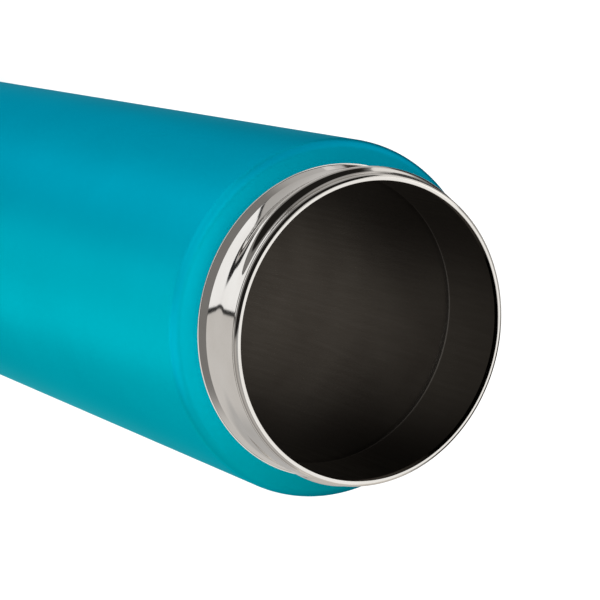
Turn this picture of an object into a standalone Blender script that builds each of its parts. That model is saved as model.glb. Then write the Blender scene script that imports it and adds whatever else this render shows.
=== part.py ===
"""Vacuum-insulated wide-mouth water bottle, standing open on its base.

The bottle is a painted outer shell and a thin inner liner with a vacuum between them.
A polished neck with a rolled lid thread joins the two at the mouth.
Units are metres, +Z points out of the mouth and the floor is z = 0.
"""

import math

import bmesh
import bpy
from mathutils import Matrix, Vector

MM = 0.001

# Driving sizes of the whole bottle
BOTTLE_HEIGHT = 250.0 * MM
BODY_RADIUS = 36.5 * MM
MOUTH_RADIUS = 29.7 * MM
SHELL_WALL = 0.5 * MM
LINER_WALL = 0.35 * MM
FIT_GAP = 0.3 * MM

# Fineness of the round forms
TURN_STEPS = 48
SMALL_TURN_STEPS = 24
ARC_STEPS = 5
EDGE_ARC_STEPS = 3
FLARE_STEPS = 6
MERGE_DISTANCE = 0.001 * MM
SHARP_ANGLE = math.radians(32.0)

# Lip: the rolled rim that closes the gap between the liner and the neck
LIP_OUTER_RADIUS = 31.0 * MM
LIP_HEIGHT = 1.25 * MM
LIP_EDGE_RADIUS = 0.35 * MM

# Neck, with depths measured down from the top of the lip
NECK_INNER_RADIUS = 30.26 * MM
NECK_RADIUS = 31.0 * MM
NECK_CHAMFER = 0.25 * MM
NECK_STRAIGHT_END = 8.0 * MM
NECK_GROOVE_RADIUS = 30.6 * MM
NECK_GROOVE_DEPTH = 9.8 * MM
COLLAR_EDGE_RADIUS = 30.7 * MM
COLLAR_EDGE_DEPTH = 11.6 * MM
COLLAR_FOOT_RADIUS = 31.26 * MM
COLLAR_FOOT_DEPTH = 13.55 * MM
NECK_FLANGE_RADIUS = 33.0 * MM
NECK_FLANGE_DEPTH = 15.4 * MM
NECK_SHEET = 0.4 * MM

# Rolled right-hand lid thread on the neck
THREAD_HEIGHT = 1.15 * MM
THREAD_HALF_WIDTH = 2.0 * MM
THREAD_PITCH = 4.6 * MM
THREAD_START_DEPTH = 3.2 * MM
THREAD_START_ANGLE = math.radians(-91.0)
THREAD_SWEEP = math.radians(290.0)
THREAD_FADE = math.radians(40.0)
THREAD_ROWS = 12

# Shoulder and shell
LEDGE_DEPTH = 13.86 * MM
LEDGE_SLOPE = math.radians(14.0)
SHOULDER_HOLE_RADIUS = 31.2 * MM
SHOULDER_CORNER_RADIUS = 2.4 * MM
SHELL_FOOT_HEIGHT = 2.2 * MM
SHELL_FOOT_TUCK = 0.3 * MM
SHELL_FOOT_TUCK_HEIGHT = 1.0 * MM

# Inner liner, below the neck
LINER_RADIUS = 32.6 * MM
LINER_FLARE_START_DEPTH = 17.6 * MM
LINER_FLARE_END_DEPTH = 22.5 * MM
LINER_TUBE_FOOT = 17.5 * MM
LINER_FLOOR_HEIGHT = 13.2 * MM
LINER_FLOOR_DOME = 1.5 * MM
LINER_CORNER_RADIUS = 4.0 * MM

# Copper heat screen round the liner
FOIL_THICKNESS = 0.25 * MM
FOIL_TOP_DEPTH = 25.0 * MM
FOIL_DISC_RADIUS = 28.0 * MM
FOIL_DISC_HEIGHT = 12.2 * MM

# Vacuum bottom, with its evacuation hole, and the glass bead that seals the hole
VACUUM_PLATE_HEIGHT = 8.0 * MM
VACUUM_SKIRT_FOOT = 5.6 * MM
EVACUATION_HOLE_RADIUS = 1.5 * MM
SEAL_BEAD_RADIUS = 3.4 * MM
SEAL_BEAD_DROP = 1.4 * MM

# Getter that keeps the vacuum, in its clip
GETTER_OFFSET = 18.0 * MM
GETTER_RADIUS = 4.0 * MM
GETTER_HEIGHT = 1.7 * MM
CLIP_WALL = 0.3 * MM
CLIP_RIM_HEIGHT = 1.3 * MM

# Pressed base cover that the bottle stands on
BASE_CORNER_RADIUS = 2.5 * MM
BASE_TOP = 5.2 * MM
BASE_RING_INNER_RADIUS = 28.0 * MM
BASE_RECESS_RADIUS = 26.0 * MM
BASE_RECESS_HEIGHT = 2.0 * MM

# Colours of the finishes
TEAL = (0.0, 0.36, 0.48)
STEEL = (0.62, 0.60, 0.57)
DARK_LINING = (0.05, 0.045, 0.04)
COPPER = (0.72, 0.40, 0.26)
SEALING_GLASS = (0.1, 0.13, 0.12)
GETTER_GREY = (0.12, 0.12, 0.12)


def clear_scene():
    """Remove every object that the file holds."""
    for old in list(bpy.data.objects):
        bpy.data.objects.remove(old, do_unlink=True)


def make_finish(name, colour, roughness, metallic):
    """Principled material of one sub-part."""
    finish = bpy.data.materials.new(name)
    finish.use_nodes = True
    shader = finish.node_tree.nodes["Principled BSDF"]
    shader.inputs["Base Color"].default_value = (*colour, 1.0)
    shader.inputs["Roughness"].default_value = roughness
    shader.inputs["Metallic"].default_value = metallic
    return finish


def arc(centre_r, centre_z, radius, start, end, steps=ARC_STEPS):
    """Profile points on a circle, angles in degrees from +r towards +z."""
    points = []
    for step in range(steps + 1):
        angle = math.radians(start + (end - start) * step / steps)
        points.append((centre_r + radius * math.cos(angle), centre_z + radius * math.sin(angle)))
    return points


def turn_profile(profile, closed, steps):
    """Spin a profile of (r, z) points about Z into a mesh under construction."""
    mesh = bmesh.new()
    ring = [mesh.verts.new((r, 0.0, z)) for r, z in profile]
    for first, second in zip(ring, ring[1:]):
        mesh.edges.new((first, second))
    if closed:
        mesh.edges.new((ring[-1], ring[0]))
    bmesh.ops.spin(
        mesh,
        geom=list(mesh.verts) + list(mesh.edges),
        cent=Vector((0.0, 0.0, 0.0)),
        axis=Vector((0.0, 0.0, 1.0)),
        angle=2.0 * math.pi,
        steps=steps,
        use_merge=True,
    )
    bmesh.ops.remove_doubles(mesh, verts=mesh.verts, dist=MERGE_DISTANCE)
    bmesh.ops.recalc_face_normals(mesh, faces=mesh.faces)
    return mesh


def add_piece(name, mesh, finish):
    """Put a finished mesh into the scene as a named, smooth-shaded sub-part."""
    data = bpy.data.meshes.new(name)
    mesh.to_mesh(data)
    mesh.free()
    data.shade_smooth()
    data.set_sharp_from_angle(angle=SHARP_ANGLE)
    data.materials.append(finish)
    piece = bpy.data.objects.new(name, data)
    bpy.context.scene.collection.objects.link(piece)
    return piece


def add_turned_piece(name, profile, finish, closed=True, steps=TURN_STEPS):
    """Turned sub-part from its profile; an open profile starts and ends on the axis."""
    return add_piece(name, turn_profile(profile, closed, steps), finish)


def below_lip(depth):
    """Height above the floor of a depth below the top of the lip."""
    return BOTTLE_HEIGHT - depth


def ledge_height(radius, offset=0.0):
    """Height of the sloping ledge at a radius, offset square to the ledge."""
    fall = (radius - COLLAR_FOOT_RADIUS) * math.tan(LEDGE_SLOPE)
    return below_lip(LEDGE_DEPTH + fall) - offset / math.cos(LEDGE_SLOPE)


def shoulder_corner(offset):
    """Arc that rounds the ledge into the body wall, offset inwards from the outside."""
    radius = SHOULDER_CORNER_RADIUS
    centre_r = BODY_RADIUS - radius
    touch_r = centre_r + radius * math.sin(LEDGE_SLOPE)
    centre_z = ledge_height(touch_r) - radius * math.cos(LEDGE_SLOPE)
    ledge_angle = 90.0 - math.degrees(LEDGE_SLOPE)
    return arc(centre_r, centre_z, radius - offset, ledge_angle, 0.0)


def build_outer_shell(finish):
    """Painted body tube with its rounded shoulder and a tucked-in foot."""
    tuck_top = SHELL_FOOT_HEIGHT + SHELL_FOOT_TUCK_HEIGHT
    inner_wall = BODY_RADIUS - SHELL_WALL
    profile = [(SHOULDER_HOLE_RADIUS, ledge_height(SHOULDER_HOLE_RADIUS))]
    profile += shoulder_corner(0.0)
    profile += [
        (BODY_RADIUS, tuck_top),
        (BODY_RADIUS - SHELL_FOOT_TUCK, SHELL_FOOT_HEIGHT),
        (inner_wall, SHELL_FOOT_HEIGHT),
    ]
    profile += reversed(shoulder_corner(SHELL_WALL))
    profile.append((SHOULDER_HOLE_RADIUS, ledge_height(SHOULDER_HOLE_RADIUS, SHELL_WALL)))
    add_turned_piece("outer_shell", profile, finish)


def thread_swell(angle, depth):
    """Height of the thread above the neck: a raised-cosine ridge on a helix, faded at both ends."""
    turned = (THREAD_START_ANGLE - angle) % (2.0 * math.pi)
    if turned > THREAD_SWEEP:
        return 0.0
    ridge_depth = THREAD_START_DEPTH + THREAD_PITCH * turned / (2.0 * math.pi)
    across = (depth - ridge_depth) / THREAD_HALF_WIDTH
    if abs(across) >= 1.0:
        return 0.0
    to_end = min(turned, THREAD_SWEEP - turned)
    fade = math.sin(0.5 * math.pi * min(to_end / THREAD_FADE, 1.0)) ** 2
    return THREAD_HEIGHT * fade * math.cos(0.5 * math.pi * across) ** 2


def build_threaded_neck(finish):
    """Polished neck: threaded wall, shallow groove, conical collar and a flange under the shoulder."""
    top = LIP_HEIGHT + FIT_GAP
    straight_top = top + NECK_CHAMFER
    profile = [(NECK_RADIUS - NECK_CHAMFER, below_lip(top))]
    for row in range(THREAD_ROWS + 1):
        depth = straight_top + (NECK_STRAIGHT_END - straight_top) * row / THREAD_ROWS
        profile.append((NECK_RADIUS, below_lip(depth)))
    profile += [
        (NECK_GROOVE_RADIUS, below_lip(NECK_GROOVE_DEPTH)),
        (COLLAR_EDGE_RADIUS, below_lip(COLLAR_EDGE_DEPTH)),
        (COLLAR_FOOT_RADIUS, below_lip(COLLAR_FOOT_DEPTH)),
        (NECK_INNER_RADIUS + NECK_SHEET, below_lip(COLLAR_FOOT_DEPTH)),
        (NECK_INNER_RADIUS + NECK_SHEET, below_lip(NECK_FLANGE_DEPTH)),
        (NECK_FLANGE_RADIUS, below_lip(NECK_FLANGE_DEPTH)),
        (NECK_FLANGE_RADIUS, below_lip(NECK_FLANGE_DEPTH + NECK_SHEET)),
        (NECK_INNER_RADIUS, below_lip(NECK_FLANGE_DEPTH + NECK_SHEET)),
        (NECK_INNER_RADIUS, below_lip(top)),
    ]
    mesh = turn_profile(profile, True, TURN_STEPS)
    wall_limit = NECK_RADIUS - 0.5 * NECK_CHAMFER
    for vert in mesh.verts:
        radius = math.hypot(vert.co.x, vert.co.y)
        depth = BOTTLE_HEIGHT - vert.co.z
        if radius > wall_limit and depth < NECK_STRAIGHT_END + MERGE_DISTANCE:
            swell = thread_swell(math.atan2(vert.co.y, vert.co.x), depth)
            vert.co.x *= 1.0 + swell / radius
            vert.co.y *= 1.0 + swell / radius
    add_piece("threaded_neck", mesh, finish)


def build_lip(finish):
    """Rolled rim of the mouth, flat on top where a lid's seal sits."""
    edge = LIP_EDGE_RADIUS
    high = BOTTLE_HEIGHT - edge
    low = BOTTLE_HEIGHT - LIP_HEIGHT + edge
    profile = arc(LIP_OUTER_RADIUS - edge, high, edge, 90.0, 0.0, EDGE_ARC_STEPS)
    profile += arc(LIP_OUTER_RADIUS - edge, low, edge, 0.0, -90.0, EDGE_ARC_STEPS)
    profile.append((MOUTH_RADIUS, BOTTLE_HEIGHT - LIP_HEIGHT))
    profile += arc(MOUTH_RADIUS + edge, high, edge, 180.0, 90.0, EDGE_ARC_STEPS)
    add_turned_piece("mouth_lip", profile, finish)


def liner_wall(offset):
    """Inside line of the liner from the lip down to the tube's foot, offset outwards."""
    points = [(MOUTH_RADIUS + offset, below_lip(LIP_HEIGHT + FIT_GAP))]
    for step in range(FLARE_STEPS + 1):
        part = step / FLARE_STEPS
        blend = part * part * (3.0 - 2.0 * part)
        radius = MOUTH_RADIUS + (LINER_RADIUS - MOUTH_RADIUS) * blend + offset
        fall = (LINER_FLARE_END_DEPTH - LINER_FLARE_START_DEPTH) * part
        points.append((radius, below_lip(LINER_FLARE_START_DEPTH + fall)))
    points.append((LINER_RADIUS + offset, LINER_TUBE_FOOT))
    return points


def build_liner(tube_finish, bottom_finish):
    """Thin inner bottle: a necked tube and the dished bottom welded to it."""
    profile = liner_wall(LINER_WALL) + list(reversed(liner_wall(0.0)))
    add_turned_piece("inner_liner", profile, tube_finish)

    rim = LINER_TUBE_FOOT - FIT_GAP
    corner_r = LINER_RADIUS - LINER_CORNER_RADIUS + LINER_WALL
    corner_z = LINER_FLOOR_HEIGHT + LINER_CORNER_RADIUS - LINER_WALL
    outer_corner = arc(corner_r, corner_z, LINER_CORNER_RADIUS, 0.0, -90.0)
    inner_corner = arc(corner_r, corner_z, LINER_CORNER_RADIUS - LINER_WALL, -90.0, 0.0)
    floor_under = outer_corner[-1][1]
    dish = [(LINER_RADIUS + LINER_WALL, rim)]
    dish += outer_corner
    dish.append((0.0, floor_under + LINER_FLOOR_DOME))
    dish.append((0.0, floor_under + LINER_WALL + LINER_FLOOR_DOME))
    dish += inner_corner
    dish.append((LINER_RADIUS, rim))
    add_disc("liner_bottom", dish, bottom_finish)


def add_disc(name, loop, finish, steps=TURN_STEPS):
    """Turned sub-part whose loop of points crosses the axis once, between two points at r = 0."""
    poles = [index for index, point in enumerate(loop) if point[0] == 0.0]
    start = poles[1]
    profile = loop[start:] + loop[:start]
    add_turned_piece(name, profile, finish, closed=False, steps=steps)


def build_heat_screen(finish):
    """Copper foil round the liner and a copper disc under its bottom."""
    inner = LINER_RADIUS + LINER_WALL + FIT_GAP
    outer = inner + FOIL_THICKNESS
    top = below_lip(FOIL_TOP_DEPTH)
    foot = LINER_TUBE_FOOT
    wrap = [(outer, top), (outer, foot), (inner, foot), (inner, top)]
    add_turned_piece("copper_foil_wrap", wrap, finish)

    disc_top = FOIL_DISC_HEIGHT
    disc_foot = disc_top - FOIL_THICKNESS
    disc = [
        (0.0, disc_top),
        (FOIL_DISC_RADIUS, disc_top),
        (FOIL_DISC_RADIUS, disc_foot),
        (0.0, disc_foot),
    ]
    add_turned_piece("copper_foil_disc", disc, finish, closed=False)


def build_vacuum_bottom(plate_finish, bead_finish):
    """Plate that closes the vacuum space, and the glass bead under its evacuation hole."""
    skirt_outer = BODY_RADIUS - SHELL_WALL - FIT_GAP
    skirt_inner = skirt_outer - SHELL_WALL
    plate_top = VACUUM_PLATE_HEIGHT + SHELL_WALL
    profile = [
        (EVACUATION_HOLE_RADIUS, plate_top),
        (skirt_outer, plate_top),
        (skirt_outer, VACUUM_SKIRT_FOOT),
        (skirt_inner, VACUUM_SKIRT_FOOT),
        (skirt_inner, VACUUM_PLATE_HEIGHT),
        (EVACUATION_HOLE_RADIUS, VACUUM_PLATE_HEIGHT),
    ]
    add_turned_piece("vacuum_bottom", profile, plate_finish)

    bead_top = VACUUM_PLATE_HEIGHT - FIT_GAP
    dome = [(0.0, bead_top)]
    for step in range(ARC_STEPS):
        angle = 0.5 * math.pi * step / ARC_STEPS
        dome.append((SEAL_BEAD_RADIUS * math.cos(angle), bead_top - SEAL_BEAD_DROP * math.sin(angle)))
    dome.append((0.0, bead_top - SEAL_BEAD_DROP))
    add_turned_piece("vacuum_seal_bead", dome, bead_finish, closed=False, steps=SMALL_TURN_STEPS)


def build_getter(pellet_finish, clip_finish):
    """Getter pellet in a shallow clip on the vacuum side of the bottom plate."""
    place = Matrix.Translation((GETTER_OFFSET, 0.0, VACUUM_PLATE_HEIGHT + SHELL_WALL + FIT_GAP))
    clip_inner = GETTER_RADIUS + FIT_GAP
    clip_outer = clip_inner + CLIP_WALL
    clip_profile = [
        (0.0, CLIP_WALL),
        (clip_inner, CLIP_WALL),
        (clip_inner, CLIP_RIM_HEIGHT),
        (clip_outer, CLIP_RIM_HEIGHT),
        (clip_outer, 0.0),
        (0.0, 0.0),
    ]
    clip = turn_profile(clip_profile, False, SMALL_TURN_STEPS)
    clip.transform(place)
    add_piece("getter_clip", clip, clip_finish)

    pellet_foot = CLIP_WALL + FIT_GAP
    pellet_top = pellet_foot + GETTER_HEIGHT
    pellet_profile = [
        (0.0, pellet_top),
        (GETTER_RADIUS, pellet_top),
        (GETTER_RADIUS, pellet_foot),
        (0.0, pellet_foot),
    ]
    pellet = turn_profile(pellet_profile, False, SMALL_TURN_STEPS)
    pellet.transform(place)
    add_piece("getter_pellet", pellet, pellet_finish)


def build_base_cover(finish):
    """Pressed cup plugged into the foot of the shell, with a standing ring and a raised middle."""
    outer = BODY_RADIUS - SHELL_WALL - FIT_GAP
    corner_r = outer - BASE_CORNER_RADIUS
    corner = arc(corner_r, BASE_CORNER_RADIUS, BASE_CORNER_RADIUS, 0.0, -90.0)
    inner_corner = arc(corner_r, BASE_CORNER_RADIUS, BASE_CORNER_RADIUS - SHELL_WALL, -90.0, 0.0)
    profile = [(outer, BASE_TOP)]
    profile += corner
    profile += [
        (BASE_RING_INNER_RADIUS, 0.0),
        (BASE_RECESS_RADIUS, BASE_RECESS_HEIGHT),
        (0.0, BASE_RECESS_HEIGHT),
        (0.0, BASE_RECESS_HEIGHT + SHELL_WALL),
        (BASE_RECESS_RADIUS + 0.5 * SHELL_WALL, BASE_RECESS_HEIGHT + SHELL_WALL),
        (BASE_RING_INNER_RADIUS + 0.5 * SHELL_WALL, SHELL_WALL),
    ]
    profile += inner_corner
    profile.append((outer - SHELL_WALL, BASE_TOP))
    add_disc("base_cover", profile, finish)


def build_bottle():
    """Make every sub-part with its finish."""
    clear_scene()
    build_outer_shell(make_finish("teal_powder_coat", TEAL, 0.45, 0.2))
    build_threaded_neck(make_finish("polished_neck_steel", STEEL, 0.12, 1.0))
    build_lip(make_finish("polished_lip_steel", STEEL, 0.1, 1.0))
    build_liner(
        make_finish("dark_liner_tube", DARK_LINING, 0.4, 0.6),
        make_finish("dark_liner_floor", DARK_LINING, 0.4, 0.6),
    )
    build_heat_screen(make_finish("copper_foil", COPPER, 0.3, 1.0))
    build_vacuum_bottom(
        make_finish("plain_plate_steel", STEEL, 0.35, 1.0),
        make_finish("sealing_glass", SEALING_GLASS, 0.2, 0.0),
    )
    build_getter(
        make_finish("getter_powder", GETTER_GREY, 0.8, 0.3),
        make_finish("getter_clip_steel", STEEL, 0.35, 1.0),
    )
    build_base_cover(make_finish("brushed_base_steel", STEEL, 0.3, 1.0))


build_bottle()
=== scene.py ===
"""Looks of the open insulated bottle: smooth turned surfaces, finishes, studio and camera.

Every visible piece is a surface of revolution worked out with numpy round the bottle's axis.
"""

import math

import bmesh
import bpy
import numpy as np
from mathutils import Matrix, Vector


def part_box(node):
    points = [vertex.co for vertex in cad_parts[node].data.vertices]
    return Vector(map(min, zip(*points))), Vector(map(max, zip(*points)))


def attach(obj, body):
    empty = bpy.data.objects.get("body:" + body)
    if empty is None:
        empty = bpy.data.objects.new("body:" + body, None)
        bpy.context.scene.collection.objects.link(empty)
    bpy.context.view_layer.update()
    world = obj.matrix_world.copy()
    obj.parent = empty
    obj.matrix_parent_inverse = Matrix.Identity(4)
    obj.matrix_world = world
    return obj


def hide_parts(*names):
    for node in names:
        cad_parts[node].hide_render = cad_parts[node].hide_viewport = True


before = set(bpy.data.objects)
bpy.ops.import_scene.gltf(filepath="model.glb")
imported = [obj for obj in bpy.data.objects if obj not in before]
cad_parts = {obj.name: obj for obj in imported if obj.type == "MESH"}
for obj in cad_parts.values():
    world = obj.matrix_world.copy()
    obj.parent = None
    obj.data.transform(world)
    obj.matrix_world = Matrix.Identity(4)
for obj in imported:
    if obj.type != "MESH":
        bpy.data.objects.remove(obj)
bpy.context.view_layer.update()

MM = 0.001
TURN = 2.0 * math.pi

# Sizes read from the frame
MOUTH_TOP = float(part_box("mouth_lip")[1][2])
BODY_RADIUS = float(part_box("outer_shell")[1][0])
SHELL_FOOT = float(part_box("outer_shell")[0][2])
LIP_RADIUS = float(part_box("mouth_lip")[1][0])
LIP_FOOT = float(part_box("mouth_lip")[0][2])
LINER_FOOT = float(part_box("inner_liner")[0][2])
LINER_OUTER = float(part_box("inner_liner")[1][0])
LINER_FLOOR = float(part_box("liner_bottom")[0][2])
BASE_RADIUS = float(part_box("base_cover")[1][0])
BASE_TOP = float(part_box("base_cover")[1][2])

# Sheet thicknesses, the mouth and the gap between pieces that are welded together
MOUTH_RADIUS = 29.7 * MM
SHELL_WALL = 0.5 * MM
LINER_WALL = 0.35 * MM
SEAM_GAP = 0.05 * MM

# Neck heights are depths below the top of the lip
NECK_RADIUS = 31.0 * MM
NECK_INNER = 30.26 * MM
NECK_TOP_GAP = 0.06 * MM
NECK_STRAIGHT_END = 5.5 * MM
NECK_FOOT_DEPTH = 14.6 * MM
NECK_FOOT_LEDGE = 0.4 * MM
GROOVE_RADIUS = 30.82 * MM
GROOVE_DEPTH = 9.0 * MM
GROOVE_FLARE_POWER = 2.4
COLLAR_EDGE_RADIUS = 30.98 * MM
COLLAR_EDGE_DEPTH = 11.5 * MM
COLLAR_FOOT_RADIUS = 31.55 * MM
COLLAR_FOOT_DEPTH = 13.6 * MM
COLLAR_FOOT_ROUND = 0.1 * MM
COLLAR_RIM = 0.35 * MM
COLLAR_RIM_DROP = 0.12 * MM
COLLAR_RIM_ROUND = 0.04 * MM
COLLAR_UNDERCUT = 0.1 * MM

# Rolled lip
LIP_ROUND = 0.95 * MM
LIP_DROP = 1.05 * MM
LIP_INNER_ROUND = 0.2 * MM
LIP_FOOT_INSET = 0.2 * MM
LIP_SKIRT_INSET = 0.05 * MM
LIP_SKIRT_HEIGHT = 0.08 * MM

# Rolled right-hand thread
THREAD_HEIGHT = 1.15 * MM
THREAD_RISE = 1.8 * MM
THREAD_FALL = 4.8 * MM
THREAD_PITCH = 4.6 * MM
THREAD_START_DEPTH = 3.07 * MM
THREAD_START_ANGLE = math.radians(-86.0)
THREAD_SWEEP = math.radians(296.0)
THREAD_FADE = math.radians(36.0)

# Shoulder and foot of the painted shell
LEDGE_DEPTH = 13.86 * MM
LEDGE_SLOPE = math.radians(14.0)
SHOULDER_HOLE = 31.2 * MM
SHOULDER_HOLE_ROUND = 0.15 * MM
SHOULDER_ROUND = 2.4 * MM
SHELL_TUCK = 0.3 * MM
SHELL_TUCK_HEIGHT = 1.0 * MM
SHELL_TUCK_ROUND = 1.5 * MM
SHELL_FOOT_ROUND = 0.15 * MM
SHELL_FOOT_INNER_ROUND = 0.1 * MM

# Liner, with the painted highlight along the edge of its flare
FLARE_START_DEPTH = 17.6 * MM
FLARE_END_DEPTH = 22.5 * MM
FLARE_TOP_ROUND = 1.5 * MM
FLARE_FOOT_ROUND = 4.0 * MM
FLARE_LINE_BELOW = 0.1 * MM
FLARE_LINE_ABOVE = 0.4 * MM
FLARE_LINE_SOFT = 0.15 * MM
LINER_CORNER = 4.0 * MM
LINER_DOME = 1.5 * MM

# Base cover
BASE_CORNER = 2.5 * MM
BASE_RING_INNER = 28.0 * MM
BASE_RECESS_RADIUS = 26.0 * MM
BASE_RECESS_HEIGHT = 2.0 * MM
BASE_RECESS_ROUND = 0.8 * MM
BASE_RECESS_INNER_ROUND = 0.6 * MM
BASE_EDGE_ROUND = 0.1 * MM

# Fineness of the turned surfaces: steps round the axis, points on an arc, longest side of a profile
WALL_SEGMENTS = 360
BASE_SEGMENTS = 288
LINER_FLOOR_SEGMENTS = 192
SHELL_ARC = 16
SHELL_SIDE = 8.0 * MM
NECK_ARC = 12
NECK_SIDE = 0.14 * MM
NECK_CURVE_POINTS = 25
LIP_ARC = 24
LIP_SIDE = 0.15 * MM
LINER_ARC = 16
LINER_SIDE = 6.0 * MM
LINER_FLOOR_ARC = 14
LINER_FLOOR_SIDE = 2.0 * MM
BASE_ARC = 12
BASE_SIDE = 1.5 * MM
STRAIGHT_HALF_ANGLE = 0.499 * math.pi
FILLET_SIDE_SHARE = 0.49
SHARP_ANGLE = math.radians(40.0)
POLE_MERGE = 0.0005 * MM
TURNED_UV = "turned"

# Finishes: the two tones that each varies between
COAT_TONES = ((0.0, 0.345, 0.47, 1.0), (0.0, 0.365, 0.495, 1.0))
COAT_TINT = (0.0, 0.55, 0.7, 1.0)
POLISHED_TONES = ((0.78, 0.76, 0.73, 1.0), (0.83, 0.815, 0.79, 1.0))
NECK_ROUGHNESS = (0.05, 0.09)
LIP_ROUGHNESS = (0.06, 0.11)
LINING_TONES = ((0.025, 0.021, 0.017, 1.0), (0.031, 0.0265, 0.0215, 1.0))
# Painted highlight: lighter colour of the thin line along the liner's flare edge
FLARE_HIGHLIGHT_TONE = (0.1, 0.09, 0.08, 1.0)
BRUSHED_TONES = ((0.56, 0.545, 0.52, 1.0), (0.63, 0.615, 0.59, 1.0))
FOIL_TONES = ((0.66, 0.34, 0.21, 1.0), (0.78, 0.44, 0.29, 1.0))
POWDER_TONES = ((0.08, 0.08, 0.08, 1.0), (0.16, 0.16, 0.155, 1.0))
GLASS_TONES = ((0.06, 0.085, 0.075, 1.0), (0.10, 0.13, 0.12, 1.0))
PAPER_TONES = ((0.90, 0.90, 0.90, 1.0), (0.92, 0.92, 0.92, 1.0))

# Usual range of a noise value, and the numbers of a colour Mix node's sockets
NOISE_LOW = 0.3
NOISE_HIGH = 0.7
MIX_FACTOR = 0
MIX_FIRST = 6
MIX_SECOND = 7
MIX_RESULT = 2

# Camera, solved from the photograph's body edges and mouth, in pixels of its 600 x 600 frame
PHOTO_SIZE = 600.0
FOCAL_PIXELS = 2283.6
AXIS_VANISHING_PIXEL = (-1078.8, -93.3)
MOUTH_CENTRE_PIXEL = (374.0, 332.1)
MOUTH_DISTANCE = 445.8 * MM
SENSOR_WIDTH = 36.0
CLIP_START = 0.01
CLIP_END = 50.0

# Floor, and the light on the floor alone
FLOOR_REACH = 4.0
FLOOR_LINES = 9
FLOOR_DROP = 0.05 * MM
FLOOR_ROUGHNESS = 0.8
FLOOR_LIGHT = 3.2
FLOOR_LIGHT_SPREAD = math.radians(6.0)

# In the lists of lights azimuth runs from the camera's side (-Y) towards +X and elevation from the
# level up, both in degrees

# Soft panels round the painted shell: name, azimuth, elevation, width, height, colour and level
PANEL_DISTANCE = 1.2
PANEL_CENTRE = Vector((0.0, 0.0, 0.22))
SHELL_PANELS = (
    ("low_right_strip", 30.0, -52.0, 34.0, 50.0, (0.8, 0.8, 0.6)),
    ("low_far_right", 95.0, -50.0, 50.0, 50.0, (0.6, 0.6, 0.4)),
    ("low_left", -70.0, -46.0, 44.0, 56.0, (0.45, 0.45, 0.45)),
    ("front_right_strip", 32.0, 8.0, 44.0, 84.0, (1.2, 1.2, 1.2)),
    ("front_left_strip", -25.0, 8.0, 60.0, 84.0, (1.1, 1.1, 1.1)),
    ("side_right", 92.0, 8.0, 70.0, 84.0, (0.5, 0.5, 0.4)),
    ("side_left", -98.0, 18.0, 80.0, 64.0, (0.6, 0.6, 0.7)),
    ("high_front", 0.0, 62.0, 70.0, 30.0, (0.6, 0.6, 0.5)),
    ("overhead", 114.0, 82.0, 40.0, 40.0, (1.2, 1.2, 1.1)),
    ("high_right", 130.0, 50.0, 50.0, 36.0, (0.2, 0.2, 0.1)),
    ("high_left", -46.0, 57.0, 44.0, 20.0, (0.8, 0.8, 0.8)),
    ("top_left", -120.0, 77.0, 24.0, 18.0, (0.9, 0.9, 0.9)),
)

# Soft panels round the polished neck and lip, listed in the same way
NECK_PANELS = (
    ("neck_ceiling", 180.0, 68.0, 90.0, 72.0, (0.6, 0.59, 0.57)),
    ("neck_right", 70.0, 2.0, 90.0, 60.0, (0.12, 0.11, 0.1)),
    ("neck_back", 130.0, 2.0, 44.0, 60.0, (0.25, 0.23, 0.2)),
    ("neck_left", -124.0, 17.0, 36.0, 44.0, (0.5, 0.49, 0.47)),
    ("neck_left_strip", -111.0, -24.0, 12.0, 32.0, (0.25, 0.24, 0.23)),
)

# Lamps that shine through the mouth: name, point, elevation, cone, power and the pieces lit
# Their points are kept out of one common plane, which would leave the inside blotchy
GLOW_DISTANCE = 0.5
GLOW_SIZE = 0.01
GLOWS = (
    ("inside_glow", (0.0, 0.030, 0.153), 65.0, 8.0, 80.0, ("liner_wall", "liner_floor")),
    ("mouth_glow", (-0.003, 0.0295, 0.232), 50.0, 6.0, 26.0, ("liner_wall",)),
    ("floor_glow", (0.002, 0.0, 0.02), 82.0, 8.0, 30.0, ("liner_floor",)),
)

# Studio that the steel mirrors: the plain level, bands of elevation and cards over them
# A band has its low end, high end and soft edge, then its level and warmth
# A card has its left end, right end and soft edge before these
STUDIO_LEVEL = (0.45, 0.03)
STUDIO_BANDS = (
    (-35.0, 42.0, 3.0, 0.35, 0.04),
    (42.0, 95.0, 5.0, 0.4, 0.01),
)
STUDIO_CARDS = (
    (10.0, 100.0, 15.0, -95.0, -36.0, 6.0, 0.6, 0.04),
    (10.0, 190.0, 5.0, -50.0, -36.0, 6.0, 0.62, 0.04),
    (-170.0, -100.0, 25.0, -95.0, -40.0, 6.0, 0.55, 0.03),
    (-75.0, 105.0, 12.0, -35.0, 0.0, 2.0, 0.2, 0.04),
    (-106.0, 26.0, 4.0, -4.0, 74.0, 4.0, 0.012, 0.1),
    (-148.0, -118.0, 2.0, -50.0, -10.0, 3.0, 0.04, 0.05),
    (158.0, 200.0, 4.0, -32.0, 30.0, 6.0, 0.03, 0.3),
    (-200.0, -173.0, 4.0, -32.0, 30.0, 6.0, 0.03, 0.3),
    (-64.0, 19.0, 1.0, -78.0, -35.0, 1.0, 0.02, 0.0),
    (-60.0, 15.0, 0.8, -70.0, -37.5, 0.8, 1.0, 0.005),
)
BACKDROP_LEVEL = 0.95


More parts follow.
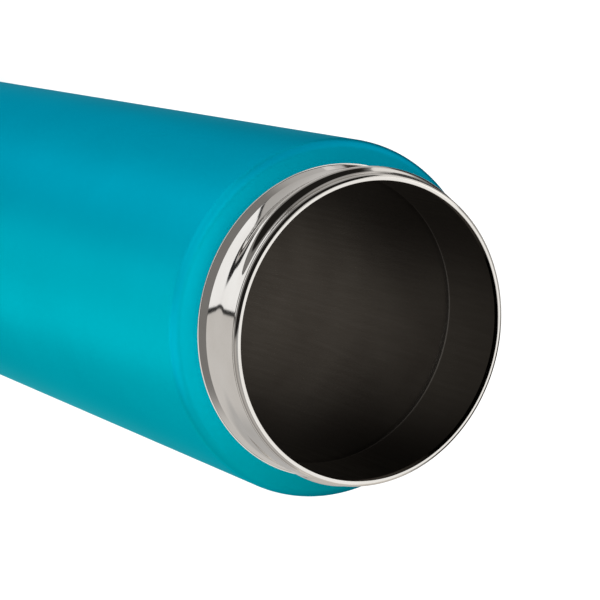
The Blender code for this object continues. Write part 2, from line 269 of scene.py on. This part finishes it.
def rounded_loop(corners, arc_points):
    """Closed profile through corners (r, z, fillet radius).

    Each corner with a fillet is replaced by the arc that touches both of its sides.
    """
    points = []
    count = len(corners)
    for index, (r, z, fillet) in enumerate(corners):
        here = np.array([r, z])
        back = np.array(corners[index - 1][:2]) - here
        ahead = np.array(corners[(index + 1) % count][:2]) - here
        back_length = np.linalg.norm(back)
        ahead_length = np.linalg.norm(ahead)
        back /= back_length
        ahead /= ahead_length
        half = 0.5 * math.acos(np.clip(back @ ahead, -1.0, 1.0))
        if fillet <= 0.0 or half > STRAIGHT_HALF_ANGLE:
            points.append(here[None, :])
            continue
        longest = FILLET_SIDE_SHARE * min(back_length, ahead_length)
        reach = min(fillet / math.tan(half), longest)
        radius = reach * math.tan(half)
        middle = back + ahead
        middle /= np.linalg.norm(middle)
        centre = here + middle * radius / math.sin(half)
        start = here + back * reach - centre
        chord = ahead * reach - back * reach
        turn_sign = np.sign(start[0] * chord[1] - start[1] * chord[0])
        steps = turn_sign * np.linspace(0.0, math.pi - 2.0 * half, arc_points)
        arc_r = centre[0] + start[0] * np.cos(steps) - start[1] * np.sin(steps)
        arc_z = centre[1] + start[0] * np.sin(steps) + start[1] * np.cos(steps)
        points.append(np.stack([arc_r, arc_z], axis=1))
    return np.concatenate(points)


def refine(profile, longest):
    """Split every side of a closed profile so that none is longer than a given length."""
    parts = []
    following = np.roll(profile, -1, axis=0)
    for start, end in zip(profile, following):
        pieces = max(1, int(math.ceil(np.linalg.norm(end - start) / longest)))
        share = np.linspace(0.0, 1.0, pieces, endpoint=False)[:, None]
        parts.append(start + (end - start) * share)
    return np.concatenate(parts)


def ring_faces(segments, rows):
    """Quads of a grid that closes on itself round the axis and along the profile."""
    around = np.arange(segments)[:, None]
    along = np.arange(rows)[None, :]
    next_around = (around + 1) % segments
    next_along = (along + 1) % rows
    corners = ((around, along), (next_around, along), (next_around, next_along), (around, next_along))
    return np.stack([u * rows + v for u, v in corners], axis=2).reshape(-1, 4)


def ring_uv(profile, segments):
    """UV of every quad's corners: u is the share of a turn, v the length along the profile."""
    shape = (segments, len(profile))
    side = np.linalg.norm(np.roll(profile, -1, axis=0) - profile, axis=1)
    length = np.concatenate([[0.0], np.cumsum(side)])
    step = np.arange(segments)[:, None]
    left = np.broadcast_to(step / segments, shape)
    right = np.broadcast_to((step + 1) / segments, shape)
    low = np.broadcast_to(length[None, :-1], shape)
    high = np.broadcast_to(length[None, 1:], shape)
    corners = ((left, low), (right, low), (right, high), (left, high))
    return np.stack([np.stack(corner, axis=2) for corner in corners], axis=2).reshape(-1)


def turned_mesh(name, profile, segments, swell=None):
    """Surface of revolution: point (u, v) = (r(v) cos u, r(v) sin u, z(v)), closed in u and in v.

    The profile runs anticlockwise in the (r, z) plane so that faces point outwards.
    swell, where given, is a function of angle, radius and height that adds to r.
    """
    profile = np.asarray(profile)
    r, z = profile.T
    area = 0.5 * np.sum(r * np.roll(z, -1) - np.roll(r, -1) * z)
    if area < 0.0:
        profile = profile[::-1]
    angle = np.arange(segments)[:, None] * TURN / segments
    radius = np.repeat(profile[None, :, 0], segments, axis=0)
    height = np.repeat(profile[None, :, 1], segments, axis=0)
    if swell is not None:
        radius = radius + swell(angle, radius, height)
    points = np.stack([radius * np.cos(angle), radius * np.sin(angle), height], axis=2)
    faces = ring_faces(segments, len(profile))
    mesh = bpy.data.meshes.new(name)
    mesh.vertices.add(segments * len(profile))
    mesh.vertices.foreach_set("co", points.ravel())
    mesh.loops.add(faces.size)
    mesh.loops.foreach_set("vertex_index", faces.ravel())
    mesh.polygons.add(len(faces))
    mesh.polygons.foreach_set("loop_start", np.arange(len(faces)) * 4)
    mesh.polygons.foreach_set("loop_total", np.full(len(faces), 4))
    mesh.update(calc_edges=True)
    layer = mesh.uv_layers.new(name=TURNED_UV)
    layer.data.foreach_set("uv", ring_uv(profile, segments))
    mesh.validate()
    if profile[:, 0].min() <= 0.0:
        close_poles(mesh)
    mesh.shade_smooth()
    mesh.set_sharp_from_angle(angle=SHARP_ANGLE)
    return mesh


def close_poles(mesh):
    """Merge the points that meet on the axis, and drop the bare edge that this leaves along it."""
    work = bmesh.new()
    work.from_mesh(mesh)
    bmesh.ops.remove_doubles(work, verts=work.verts, dist=POLE_MERGE)
    bare = [edge for edge in work.edges if not edge.link_faces]
    bmesh.ops.delete(work, geom=bare, context="EDGES")
    work.to_mesh(mesh)
    work.free()


def place_piece(name, mesh, node, material):
    """Put a turned piece in the scene in place of its CAD node."""
    piece = bpy.data.objects.new(name, mesh)
    bpy.context.scene.collection.objects.link(piece)
    mesh.materials.append(material)
    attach(piece, "root")
    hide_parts(node)


def depth_to_z(depth):
    """Height above the floor of a depth below the top of the lip."""
    return MOUTH_TOP - depth


def smooth_step(value):
    """Zero to one with level ends: 3x squared minus 2x cubed."""
    value = np.clip(value, 0.0, 1.0)
    return value * value * (3.0 - 2.0 * value)


def thread_swell(angle, radius, height):
    """Raised-cosine ridge on a right-hand helix that fades in and out, on the outside of the neck."""
    depth = MOUTH_TOP - height
    turned = np.mod(THREAD_START_ANGLE - angle, TURN)
    ridge = THREAD_START_DEPTH + THREAD_PITCH * turned / TURN
    flank = np.where(depth < ridge, THREAD_RISE, THREAD_FALL)
    across = np.clip((depth - ridge) / flank, -1.0, 1.0)
    to_end = np.minimum(turned, THREAD_SWEEP - turned)
    fade = smooth_step(to_end / THREAD_FADE)
    outside = (radius > 0.5 * (NECK_INNER + GROOVE_RADIUS)) & (depth < COLLAR_EDGE_DEPTH)
    return np.where(outside, THREAD_HEIGHT * fade * np.cos(0.5 * math.pi * across) ** 2, 0.0)


def shell_profile():
    """Painted tube: ledge, rounded shoulder, straight wall, tucked foot and the inside again."""
    slope = math.tan(LEDGE_SLOPE)
    ledge_out = depth_to_z(LEDGE_DEPTH + (BODY_RADIUS - COLLAR_FOOT_RADIUS) * slope)
    ledge_in = depth_to_z(LEDGE_DEPTH - (COLLAR_FOOT_RADIUS - SHOULDER_HOLE) * slope)
    wall = BODY_RADIUS - SHELL_WALL
    drop = SHELL_WALL / math.cos(LEDGE_SLOPE)
    corners = [
        (SHOULDER_HOLE, ledge_in, SHOULDER_HOLE_ROUND),
        (SHOULDER_HOLE, ledge_in - drop, 0.0),
        (wall, ledge_out - drop, SHOULDER_ROUND - SHELL_WALL),
        (wall, SHELL_FOOT, SHELL_FOOT_INNER_ROUND),
        (BODY_RADIUS - SHELL_TUCK, SHELL_FOOT, SHELL_FOOT_ROUND),
        (BODY_RADIUS, SHELL_FOOT + SHELL_TUCK_HEIGHT, SHELL_TUCK_ROUND),
        (BODY_RADIUS, ledge_out, SHOULDER_ROUND),
    ]
    return refine(rounded_loop(corners, SHELL_ARC), SHELL_SIDE)


def neck_profile():
    """Polished neck: straight wall, shallow groove, crisp edge and conical collar.

    The wall narrows to the groove by a smooth step, and flares to the edge by a power of the depth.
    """
    top = LIP_FOOT - NECK_TOP_GAP
    foot = depth_to_z(NECK_FOOT_DEPTH)
    part = np.linspace(0.0, 1.0, NECK_CURVE_POINTS)
    flare_r = GROOVE_RADIUS + (COLLAR_EDGE_RADIUS - GROOVE_RADIUS) * part**GROOVE_FLARE_POWER
    flare_z = depth_to_z(GROOVE_DEPTH + (COLLAR_EDGE_DEPTH - GROOVE_DEPTH) * part)
    narrow_r = NECK_RADIUS + (GROOVE_RADIUS - NECK_RADIUS) * smooth_step(part)
    narrow_z = depth_to_z(NECK_STRAIGHT_END + (GROOVE_DEPTH - NECK_STRAIGHT_END) * part)
    undercut = depth_to_z(COLLAR_FOOT_DEPTH + COLLAR_UNDERCUT)
    rim = depth_to_z(COLLAR_FOOT_DEPTH + COLLAR_RIM_DROP)
    corners = [
        (NECK_INNER, top, 0.0),
        (NECK_INNER, foot, 0.0),
        (NECK_INNER + NECK_FOOT_LEDGE, foot, 0.0),
        (SHOULDER_HOLE - COLLAR_UNDERCUT, undercut, 0.0),
        (COLLAR_FOOT_RADIUS + COLLAR_RIM, rim, COLLAR_RIM_ROUND),
        (COLLAR_FOOT_RADIUS, depth_to_z(COLLAR_FOOT_DEPTH), COLLAR_FOOT_ROUND),
        (COLLAR_EDGE_RADIUS, depth_to_z(COLLAR_EDGE_DEPTH), 0.0),
    ]
    collar = rounded_loop(corners, NECK_ARC)
    wall_r = np.concatenate([flare_r[::-1], narrow_r[-2::-1]])
    wall_z = np.concatenate([flare_z[::-1], narrow_z[-2::-1]])
    wall = np.stack([wall_r, wall_z], axis=1)[1:]
    return refine(np.concatenate([collar, wall, [[NECK_RADIUS, top]]]), NECK_SIDE)


def lip_profile():
    """Rolled rim of the mouth: a small round inside, a short flat top and a quarter ellipse outside."""
    turn = np.linspace(0.0, 0.5 * math.pi, LIP_ARC)
    outer_r = LIP_RADIUS - LIP_ROUND + LIP_ROUND * np.cos(turn)
    outer_z = MOUTH_TOP - LIP_DROP + LIP_DROP * np.sin(turn)
    inner_r = MOUTH_RADIUS + LIP_INNER_ROUND * (1.0 - np.sin(turn))
    inner_z = MOUTH_TOP - LIP_INNER_ROUND * (1.0 - np.cos(turn))
    foot = [
        [MOUTH_RADIUS, LIP_FOOT],
        [LIP_RADIUS - LIP_FOOT_INSET, LIP_FOOT],
        [LIP_RADIUS - LIP_SKIRT_INSET, LIP_FOOT + LIP_SKIRT_HEIGHT],
    ]
    top_r = np.concatenate([outer_r, inner_r])
    top_z = np.concatenate([outer_z, inner_z])
    return refine(np.concatenate([np.stack([top_r, top_z], axis=1), foot]), LIP_SIDE)


def liner_profile():
    """Inner bottle wall, inside and outside: straight neck, conical flare with rounded ends, tube."""
    bore = LINER_OUTER - LINER_WALL
    top = LIP_FOOT - SEAM_GAP
    flare_top = depth_to_z(FLARE_START_DEPTH)
    flare_foot = depth_to_z(FLARE_END_DEPTH)
    corners = [
        (MOUTH_RADIUS, top, 0.0),
        (MOUTH_RADIUS, flare_top, FLARE_TOP_ROUND),
        (bore, flare_foot, FLARE_FOOT_ROUND),
        (bore, LINER_FOOT, 0.0),
        (LINER_OUTER, LINER_FOOT, 0.0),
        (LINER_OUTER, flare_foot, FLARE_FOOT_ROUND),
        (MOUTH_RADIUS + LINER_WALL, flare_top, FLARE_TOP_ROUND),
        (MOUTH_RADIUS + LINER_WALL, top, 0.0),
    ]
    return refine(rounded_loop(corners, LINER_ARC), LINER_SIDE)


def liner_bottom_profile():
    """Dished floor of the liner, closed on the axis."""
    rim = LINER_FOOT - SEAM_GAP
    bore = LINER_OUTER - LINER_WALL
    corners = [
        (bore, rim, 0.0),
        (bore, LINER_FLOOR + LINER_WALL, LINER_CORNER),
        (0.0, LINER_FLOOR + LINER_WALL + LINER_DOME, 0.0),
        (0.0, LINER_FLOOR + LINER_DOME, 0.0),
        (LINER_OUTER, LINER_FLOOR, LINER_CORNER + LINER_WALL),
        (LINER_OUTER, rim, 0.0),
    ]
    return refine(rounded_loop(corners, LINER_FLOOR_ARC), LINER_FLOOR_SIDE)


def base_profile():
    """Pressed base cover: skirt, rounded corner, standing ring and raised middle, closed on the axis."""
    wall = SHELL_WALL
    corners = [
        (BASE_RADIUS - wall, BASE_TOP, 0.0),
        (BASE_RADIUS - wall, wall, BASE_CORNER - wall),
        (BASE_RING_INNER + 0.5 * wall, wall, BASE_RECESS_INNER_ROUND),
        (BASE_RECESS_RADIUS + 0.5 * wall, BASE_RECESS_HEIGHT + wall, BASE_RECESS_INNER_ROUND),
        (0.0, BASE_RECESS_HEIGHT + wall, 0.0),
        (0.0, BASE_RECESS_HEIGHT, 0.0),
        (BASE_RECESS_RADIUS, BASE_RECESS_HEIGHT, BASE_RECESS_ROUND),
        (BASE_RING_INNER, 0.0, BASE_RECESS_ROUND),
        (BASE_RADIUS, 0.0, BASE_CORNER),
        (BASE_RADIUS, BASE_TOP, BASE_EDGE_ROUND),
    ]
    return refine(rounded_loop(corners, BASE_ARC), BASE_SIDE)


def new_material(name):
    """Empty Principled material, its node tree, its shader and the place on the piece."""
    material = bpy.data.materials.new(name)
    material.use_nodes = True
    tree = material.node_tree
    place = add_node(tree, "ShaderNodeTexCoord").outputs["Object"]
    return material, tree, tree.nodes["Principled BSDF"], place


def add_node(tree, kind, inputs=None, **settings):
    """Node of a kind with its settings; an input is a constant or the socket that feeds it."""
    node = tree.nodes.new(kind)
    for key, value in settings.items():
        setattr(node, key, value)
    for key, value in (inputs or {}).items():
        if isinstance(value, bpy.types.NodeSocket):
            tree.links.new(value, node.inputs[key])
        else:
            node.inputs[key].default_value = value
    return node


def calculate(tree, operation, *values):
    """Result of one Math node on its values."""
    return add_node(tree, "ShaderNodeMath", dict(enumerate(values)), operation=operation).outputs["Value"]


def noise(tree, vector, scale, detail=3.0, roughness=0.5):
    """Noise value on a vector."""
    inputs = {"Vector": vector, "Scale": scale, "Detail": detail, "Roughness": roughness}
    return add_node(tree, "ShaderNodeTexNoise", inputs).outputs["Fac"]


def spread(tree, value, low, high):
    """Map the usual range of a noise value onto the range low to high."""
    inputs = {"Value": value, "From Min": NOISE_LOW, "From Max": NOISE_HIGH, "To Min": low, "To Max": high}
    return add_node(tree, "ShaderNodeMapRange", inputs).outputs["Result"]


def window(tree, value, low, high, soft):
    """One between low and high, falling smoothly to zero over a soft edge on each side."""
    rising = {"Value": value, "From Min": low - soft, "From Max": low + soft}
    falling = {"Value": value, "From Min": high - soft, "From Max": high + soft, "To Min": 1.0, "To Max": 0.0}
    edges = [
        add_node(tree, "ShaderNodeMapRange", inputs, interpolation_type="SMOOTHSTEP").outputs["Result"]
        for inputs in (rising, falling)
    ]
    return calculate(tree, "MULTIPLY", *edges)


def mix_colour(tree, factor, first, second):
    """Colour between two others."""
    inputs = {MIX_FACTOR: factor, MIX_FIRST: first, MIX_SECOND: second}
    return add_node(tree, "ShaderNodeMix", inputs, data_type="RGBA").outputs[MIX_RESULT]


def two_tones(tree, value, tones):
    """Colour that follows a noise value from one tone to the other."""
    return mix_colour(tree, spread(tree, value, 0.0, 1.0), *tones)


def stretched(tree, scale):
    """Place on a turned piece's own UV map, scaled round the piece and along its profile."""
    turned = add_node(tree, "ShaderNodeUVMap", uv_map=TURNED_UV).outputs["UV"]
    return add_node(tree, "ShaderNodeMapping", {"Vector": turned, "Scale": scale}).outputs["Vector"]


def dress_shader(tree, shader, colour, roughness, metallic):
    """Feed the shader's colour and roughness, and set how metallic it is."""
    tree.links.new(colour, shader.inputs["Base Color"])
    tree.links.new(roughness, shader.inputs["Roughness"])
    shader.inputs["Metallic"].default_value = metallic


def bump(tree, shader, height, distance, strength):
    """Drive the shader's normal from a height."""
    inputs = {"Height": height, "Distance": distance, "Strength": strength}
    node = add_node(tree, "ShaderNodeBump", inputs)
    tree.links.new(node.outputs["Normal"], shader.inputs["Normal"])


def teal_coat():
    """Satin metallic teal coat with a fine orange peel and slow changes of tone."""
    material, tree, shader, place = new_material("teal_satin_coat")
    tone = noise(tree, place, scale=35.0)
    peel = noise(tree, place, scale=2600.0, detail=2.0)
    grain = noise(tree, place, scale=9000.0, detail=1.0)
    colour = two_tones(tree, tone, COAT_TONES)
    dress_shader(tree, shader, colour, spread(tree, grain, low=0.40, high=0.46), metallic=1.0)
    shader.inputs["Specular Tint"].default_value = COAT_TINT
    bump(tree, shader, peel, distance=0.006 * MM, strength=0.5)
    return material


def polished_steel(name, roughness_limits):
    """Mirror-polished steel with fine hoop lines from the polishing wheel."""
    material, tree, shader, place = new_material(name)
    hoops = stretched(tree, scale=(6.0, 9000.0, 1.0))
    lines = noise(tree, hoops, scale=1.0, detail=4.0, roughness=0.7)
    haze = noise(tree, place, scale=160.0)
    colour = two_tones(tree, haze, POLISHED_TONES)
    dress_shader(tree, shader, colour, spread(tree, lines, *roughness_limits), metallic=1.0)
    bump(tree, shader, lines, distance=0.0006 * MM, strength=0.5)
    return material


def dark_lining():
    """Dark warm-grey satin lining with faint draw lines, and a painted highlight: a lighter line of colour on
    the flare's edge.
    """
    material, tree, shader, place = new_material("dark_satin_lining")
    lines = noise(tree, stretched(tree, scale=(220.0, 60.0, 1.0)), scale=1.0)
    tone = noise(tree, place, scale=60.0)
    height = add_node(tree, "ShaderNodeSeparateXYZ", {"Vector": place}).outputs["Z"]
    edge = depth_to_z(FLARE_START_DEPTH)
    # Painted highlight: the lining turns lighter in a thin band at the flare's edge
    painted_highlight = window(tree, height, edge - FLARE_LINE_BELOW, edge + FLARE_LINE_ABOVE, FLARE_LINE_SOFT)
    colour = mix_colour(tree, painted_highlight, two_tones(tree, tone, LINING_TONES), FLARE_HIGHLIGHT_TONE)
    dress_shader(tree, shader, colour, spread(tree, lines, low=0.36, high=0.46), metallic=0.6)
    bump(tree, shader, lines, distance=0.002 * MM, strength=0.4)
    return material


def brushed_steel():
    """Circular-brushed steel of the base and the hidden plates: noise on axis distance and height."""
    material, tree, shader, place = new_material("circular_brushed_steel")
    axes = add_node(tree, "ShaderNodeSeparateXYZ", {"Vector": place}).outputs
    flat = add_node(tree, "ShaderNodeCombineXYZ", {"X": axes["X"], "Y": axes["Y"]}).outputs["Vector"]
    reach = add_node(tree, "ShaderNodeVectorMath", {0: flat}, operation="LENGTH").outputs["Value"]
    rings = add_node(tree, "ShaderNodeCombineXYZ", {"X": reach, "Z": axes["Z"]}).outputs["Vector"]
    lines = noise(tree, rings, scale=4200.0, detail=4.0, roughness=0.7)
    tone = noise(tree, place, scale=90.0)
    colour = two_tones(tree, tone, BRUSHED_TONES)
    dress_shader(tree, shader, colour, spread(tree, lines, low=0.22, high=0.38), metallic=1.0)
    bump(tree, shader, lines, distance=0.003 * MM, strength=0.5)
    return material


def copper_foil():
    """Thin copper foil with soft crinkles."""
    material, tree, shader, place = new_material("copper_foil_crinkled")
    crinkle = noise(tree, place, scale=120.0, detail=5.0)
    colour = two_tones(tree, crinkle, FOIL_TONES)
    dress_shader(tree, shader, colour, spread(tree, crinkle, low=0.2, high=0.35), metallic=1.0)
    bump(tree, shader, crinkle, distance=0.05 * MM, strength=0.5)
    return material


def pressed_powder():
    """Grey pressed powder of the getter."""
    material, tree, shader, place = new_material("getter_pressed_powder")
    grain = noise(tree, place, scale=3500.0, detail=4.0)
    colour = two_tones(tree, grain, POWDER_TONES)
    dress_shader(tree, shader, colour, spread(tree, grain, low=0.75, high=0.9), metallic=0.0)
    bump(tree, shader, grain, distance=0.03 * MM, strength=0.6)
    return material


def solder_glass():
    """Dark green-grey sealing glass."""
    material, tree, shader, place = new_material("dark_sealing_glass")
    swirl = noise(tree, place, scale=500.0)
    colour = two_tones(tree, swirl, GLASS_TONES)
    dress_shader(tree, shader, colour, spread(tree, swirl, low=0.08, high=0.16), metallic=0.0)
    bump(tree, shader, swirl, distance=0.01 * MM, strength=0.3)
    return material


def dress_bottle():
    """Make the visible pieces and finish the hidden ones."""
    neck_steel = polished_steel("polished_neck_steel", NECK_ROUGHNESS)
    lip_steel = polished_steel("polished_lip_steel", LIP_ROUGHNESS)
    lining = dark_lining()
    brushed = brushed_steel()
    foil = copper_foil()
    shell = turned_mesh("painted_shell", shell_profile(), WALL_SEGMENTS)
    neck = turned_mesh("polished_neck", neck_profile(), WALL_SEGMENTS, thread_swell)
    lip = turned_mesh("rolled_lip", lip_profile(), WALL_SEGMENTS)
    liner = turned_mesh("liner_wall", liner_profile(), WALL_SEGMENTS)
    liner_floor = turned_mesh("liner_floor", liner_bottom_profile(), LINER_FLOOR_SEGMENTS)
    base = turned_mesh("pressed_base", base_profile(), BASE_SEGMENTS)
    place_piece("painted_shell", shell, "outer_shell", teal_coat())
    place_piece("polished_neck", neck, "threaded_neck", neck_steel)
    place_piece("rolled_lip", lip, "mouth_lip", lip_steel)
    place_piece("liner_wall", liner, "inner_liner", lining)
    place_piece("liner_floor", liner_floor, "liner_bottom", lining)
    place_piece("pressed_base", base, "base_cover", brushed)
    bpy.data.objects["painted_shell"].visible_glossy = False
    hidden = {
        "copper_foil_wrap": foil,
        "copper_foil_disc": foil,
        "vacuum_bottom": brushed,
        "vacuum_seal_bead": solder_glass(),
        "getter_clip": brushed,
        "getter_pellet": pressed_powder(),
    }
    for node, material in hidden.items():
        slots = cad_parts[node].data.materials
        slots.clear()
        slots.append(material)


def aim_camera():
    """Camera at the photograph's place.

    The bottle's axis runs to its vanishing point, and the middle of the mouth sits at its pixel.
    """
    centre = 0.5 * PHOTO_SIZE

    def ray(pixel):
        return Vector(((pixel[0] - centre) / FOCAL_PIXELS, (centre - pixel[1]) / FOCAL_PIXELS, -1.0))

    axis = -ray(AXIS_VANISHING_PIXEL).normalized()
    to_camera = -(ray(MOUTH_CENTRE_PIXEL) * MOUTH_DISTANCE)
    sideways = to_camera - axis * to_camera.dot(axis)
    behind = -sideways.normalized()
    turn = Matrix((behind.cross(axis), behind, axis))
    place = Vector((0.0, 0.0, MOUTH_TOP)) + turn @ to_camera
    camera_data = bpy.data.cameras.new("photo_camera")
    camera_data.sensor_width = SENSOR_WIDTH
    camera_data.lens = SENSOR_WIDTH * FOCAL_PIXELS / PHOTO_SIZE
    camera_data.clip_start = CLIP_START
    camera_data.clip_end = CLIP_END
    camera = bpy.data.objects.new("photo_camera", camera_data)
    camera.matrix_world = Matrix.Translation(place) @ turn.to_4x4()
    bpy.context.scene.collection.objects.link(camera)
    bpy.context.scene.camera = camera


def lay_floor():
    """Plain pale floor: a level square grid of quads."""
    step = np.linspace(-FLOOR_REACH, FLOOR_REACH, FLOOR_LINES)
    across, along = np.meshgrid(step, step, indexing="ij")
    level = np.full_like(across, -FLOOR_DROP)
    points = np.stack([across, along, level], axis=2).reshape(-1, 3)
    index = np.arange(FLOOR_LINES - 1)
    first = (index[:, None] * FLOOR_LINES + index[None, :]).ravel()
    faces = np.stack([first, first + FLOOR_LINES, first + FLOOR_LINES + 1, first + 1], axis=1)
    mesh = bpy.data.meshes.new("pale_floor")
    mesh.from_pydata(points.tolist(), [], faces.tolist())
    material, tree, shader, place = new_material("pale_floor_paper")
    fibre = noise(tree, place, scale=700.0, detail=4.0)
    tree.links.new(two_tones(tree, fibre, PAPER_TONES), shader.inputs["Base Color"])
    shader.inputs["Roughness"].default_value = FLOOR_ROUGHNESS
    mesh.materials.append(material)
    floor = bpy.data.objects.new("pale_floor", mesh)
    bpy.context.scene.collection.objects.link(floor)
    floor.visible_glossy = False
    floor.visible_diffuse = False
    floor.visible_shadow = False


def grey(level, warmth=0.0):
    """Light level with a little warmth."""
    return (level * (1.0 + warmth), level, level * (1.0 - warmth), 1.0)


def light_studio():
    """Studio round the bottle: grey bands by elevation, with darker and lighter cards over them.

    The camera itself sees a plain near-white backdrop.
    """
    world = bpy.data.worlds.new("studio")
    bpy.context.scene.world = world
    world.use_nodes = True
    tree = world.node_tree
    background = tree.nodes["Background"]
    direction = add_node(tree, "ShaderNodeTexCoord").outputs["Generated"]
    axes = add_node(tree, "ShaderNodeSeparateXYZ", {"Vector": direction}).outputs
    to_front = calculate(tree, "MULTIPLY", axes["Y"], -1.0)
    azimuth = calculate(tree, "DEGREES", calculate(tree, "ARCTAN2", axes["X"], to_front))
    elevation = calculate(tree, "DEGREES", calculate(tree, "ARCSINE", axes["Z"]))
    colour = grey(*STUDIO_LEVEL)
    for low, high, soft, level, warmth in STUDIO_BANDS:
        band = window(tree, elevation, low, high, soft)
        colour = mix_colour(tree, band, colour, grey(level, warmth))
    for left, right, side_soft, low, high, soft, level, warmth in STUDIO_CARDS:
        beside = window(tree, azimuth, left, right, side_soft)
        card = calculate(tree, "MULTIPLY", beside, window(tree, elevation, low, high, soft))
        colour = mix_colour(tree, card, colour, grey(level, warmth))
    to_camera = add_node(tree, "ShaderNodeLightPath").outputs["Is Camera Ray"]
    colour = mix_colour(tree, to_camera, colour, grey(BACKDROP_LEVEL))
    tree.links.new(colour, background.inputs["Color"])
    background.inputs["Strength"].default_value = 1.0


def lit_group(name, piece_names):
    """Collection of the pieces that a light reaches."""
    group = bpy.data.collections.new(name)
    for piece_name in piece_names:
        group.objects.link(bpy.data.objects[piece_name])
    return group


def direction_to(azimuth, elevation):
    """Unit vector towards an azimuth and an elevation in degrees."""
    turn = math.radians(azimuth)
    rise = math.radians(elevation)
    return Vector((math.sin(turn) * math.cos(rise), -math.cos(turn) * math.cos(rise), math.sin(rise)))


def hang_lamp(data, centre, out, distance, group):
    """Lamp at a distance from a centre, facing it, that lights one group of pieces."""
    lamp = bpy.data.objects.new(data.name, data)
    place = Matrix.Translation(centre + out * distance)
    lamp.matrix_world = place @ out.to_track_quat("Z", "Y").to_matrix().to_4x4()
    lamp.light_linking.receiver_collection = group
    lamp.visible_camera = False
    bpy.context.scene.collection.objects.link(lamp)
    return lamp


def panel(group, name, azimuth, elevation, width, height, level):
    """Soft flat panel of even brightness, seen from the shoulder at an azimuth and an elevation.

    Angles are in degrees; level is the panel's colour and brightness, and group the pieces that it
    lights, which alone can shade each other from it.
    """
    across = 2.0 * PANEL_DISTANCE * math.tan(math.radians(0.5 * width))
    tall = 2.0 * PANEL_DISTANCE * math.tan(math.radians(0.5 * height))
    strength = max(level)
    data = bpy.data.lights.new(name, "AREA")
    data.shape = "RECTANGLE"
    data.size = across
    data.size_y = tall
    data.color = [part / strength for part in level]
    data.energy = strength * math.pi * across * tall
    lamp = hang_lamp(data, PANEL_CENTRE, direction_to(azimuth, elevation), PANEL_DISTANCE, group)
    lamp.light_linking.blocker_collection = group


def glow(name, point, elevation, angle, power, piece_names):
    """Soft round glow through the mouth onto a point of the liner, from the camera's side."""
    data = bpy.data.lights.new(name, "SPOT")
    data.energy = power
    data.spot_size = math.radians(angle)
    data.spot_blend = 1.0
    data.shadow_soft_size = GLOW_SIZE
    group = lit_group(name + "_lit", piece_names)
    hang_lamp(data, Vector(point), direction_to(0.0, elevation), GLOW_DISTANCE, group)


def light_floor():
    """Even light from straight above on the floor alone, as white as the photograph's ground."""
    data = bpy.data.lights.new("floor_light", "SUN")
    data.energy = FLOOR_LIGHT
    data.angle = FLOOR_LIGHT_SPREAD
    lamp = bpy.data.objects.new("floor_light", data)
    lamp.light_linking.receiver_collection = lit_group("floor_lit", ["pale_floor"])
    bpy.context.scene.collection.objects.link(lamp)


def set_view():
    """Plain colour handling, so that white paper stays white."""
    view = bpy.context.scene.view_settings
    view.view_transform = "Standard"
    view.look = "None"


dress_bottle()
aim_camera()
lay_floor()
light_studio()
for group_name, pieces, panels in (
    ("shell_lit", ["painted_shell", "pressed_base"], SHELL_PANELS),
    ("neck_lit", ["polished_neck", "rolled_lip"], NECK_PANELS),
):
    panel_group = lit_group(group_name, pieces)
    for panel_settings in panels:
        panel(panel_group, *panel_settings)
for glow_settings in GLOWS:
    glow(*glow_settings)
light_floor()
set_view()
